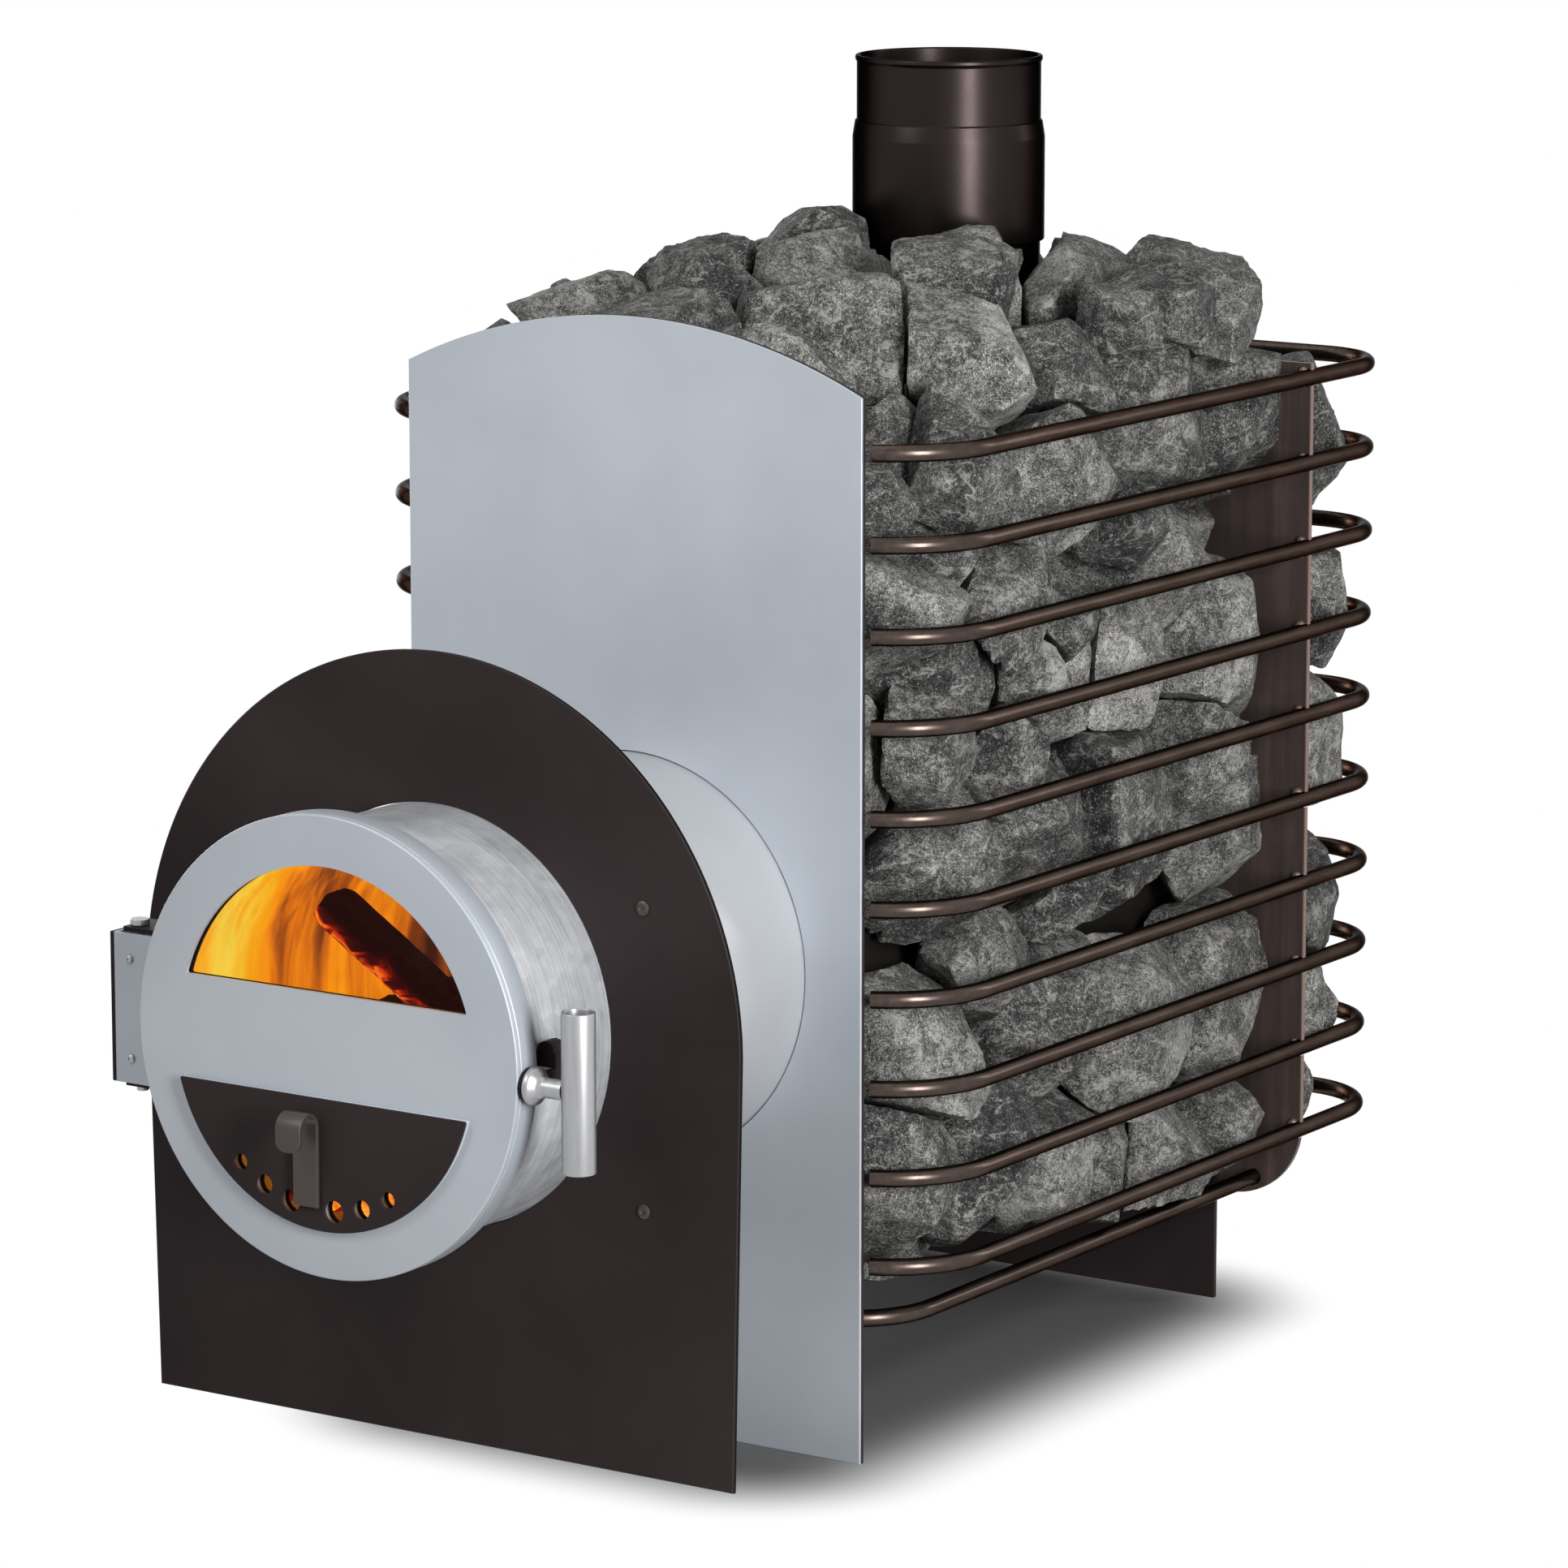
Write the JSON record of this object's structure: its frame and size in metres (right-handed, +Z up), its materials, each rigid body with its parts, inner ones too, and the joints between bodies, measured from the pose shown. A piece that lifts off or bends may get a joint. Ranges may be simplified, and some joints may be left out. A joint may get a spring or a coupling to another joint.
{
  "type": "sauna stove",
  "caption": "Wood-fired sauna stove: rod basket of stones around a firebox, flue spigot, level firing tunnel, arched fire-front plate and a round hinged door with window and air shutter.",
  "frame": {"origin": "centre of the front panel's bottom edge, on the floor", "axes": "+X to the right seen from the door, +Y from the door towards the back, +Z up"},
  "size_m": [0.484, 1.0208, 0.918],
  "materials": {
    "silver_paint": "satin",
    "galvanised_sheet": "mottled satin",
    "brown_paint": "satin",
    "bronze_rod": "polished dark",
    "flue_paint": "satin",
    "stainless": "satin",
    "firebox_iron": "matt",
    "door_glass": "clear",
    "gasket_rope": "woven",
    "stove_stone": "rough",
    "charred_wood": "charred"
  },
  "bodies": {
    "stove": {"front_panel": "silver_paint", "firing_tunnel": "silver_paint", "basket_front_plate": "brown_paint", "fire_front_plate": "brown_paint", "plate_screw_1": "brown_paint", "plate_screw_2": "brown_paint", "plate_screw_3": "brown_paint", "plate_screw_4": "brown_paint", "latch_keeper": "brown_paint", "hinge_ear_low": "brown_paint", "hinge_ear_high": "brown_paint", "rear_rib": "brown_paint", "rear_foot": "brown_paint", "door_collar": "galvanised_sheet", "firebox_shell": "firebox_iron", "firebox_back": "firebox_iron", "grate": "firebox_iron", "hinge_pin": "stainless", "log_left": "charred_wood", "log_right": "charred_wood", "log_top": "charred_wood", "flue_pipe": "flue_paint", "flue_sleeve": "flue_paint", "basket_rod_01": "bronze_rod", "basket_rod_02": "bronze_rod", "basket_rod_03": "bronze_rod", "basket_rod_04": "bronze_rod", "basket_rod_05": "bronze_rod", "basket_rod_06": "bronze_rod", "basket_rod_07": "bronze_rod", "basket_rod_08": "bronze_rod", "basket_rod_09": "bronze_rod", "basket_rod_10": "bronze_rod", "bottom_bar_1": "bronze_rod", "bottom_bar_2": "bronze_rod", "bottom_bar_3": "bronze_rod", "bottom_bar_4": "bronze_rod", "stones_right": "stove_stone", "stones_left": "stove_stone", "stones_under": "stove_stone", "stones_top": "stove_stone", "stones_rear": "stove_stone"},
    "door": {"door_lid": "silver_paint", "air_seat": "silver_paint", "air_plate": "brown_paint", "door_glass": "door_glass", "glass_retainer": "firebox_iron", "door_gasket": "gasket_rope", "shutter_pivot": "stainless", "hinge_leaf": "silver_paint", "hinge_side_plate": "brown_paint", "leaf_screw_1": "stainless", "leaf_screw_2": "stainless", "side_screw_1": "stainless", "side_screw_2": "stainless"},
    "handle": {"handle_stem": "stainless", "latch_tongue": "brown_paint", "handle_tube": "stainless"},
    "shutter": {"air_shutter": "firebox_iron", "air_knob": "brown_paint"}
  },
  "joints": [
    {"name": "door_hinge", "type": "hinge", "parent": "stove", "child": "door", "pos_m": [-0.18, -0.309, 0.331], "axis": [0, 0, -1], "range_deg": [0, 105]},
    {"name": "handle_turn", "type": "hinge", "parent": "door", "child": "handle", "pos_m": [0.16, -0.334, 0.325], "axis": [-1, 0, 0], "range_deg": [0, 70]},
    {"name": "shutter_turn", "type": "hinge", "parent": "door", "child": "shutter", "pos_m": [0, -0.34, 0.331], "axis": [0, -1, 0], "range_deg": [0, 6.3]}
  ]
}
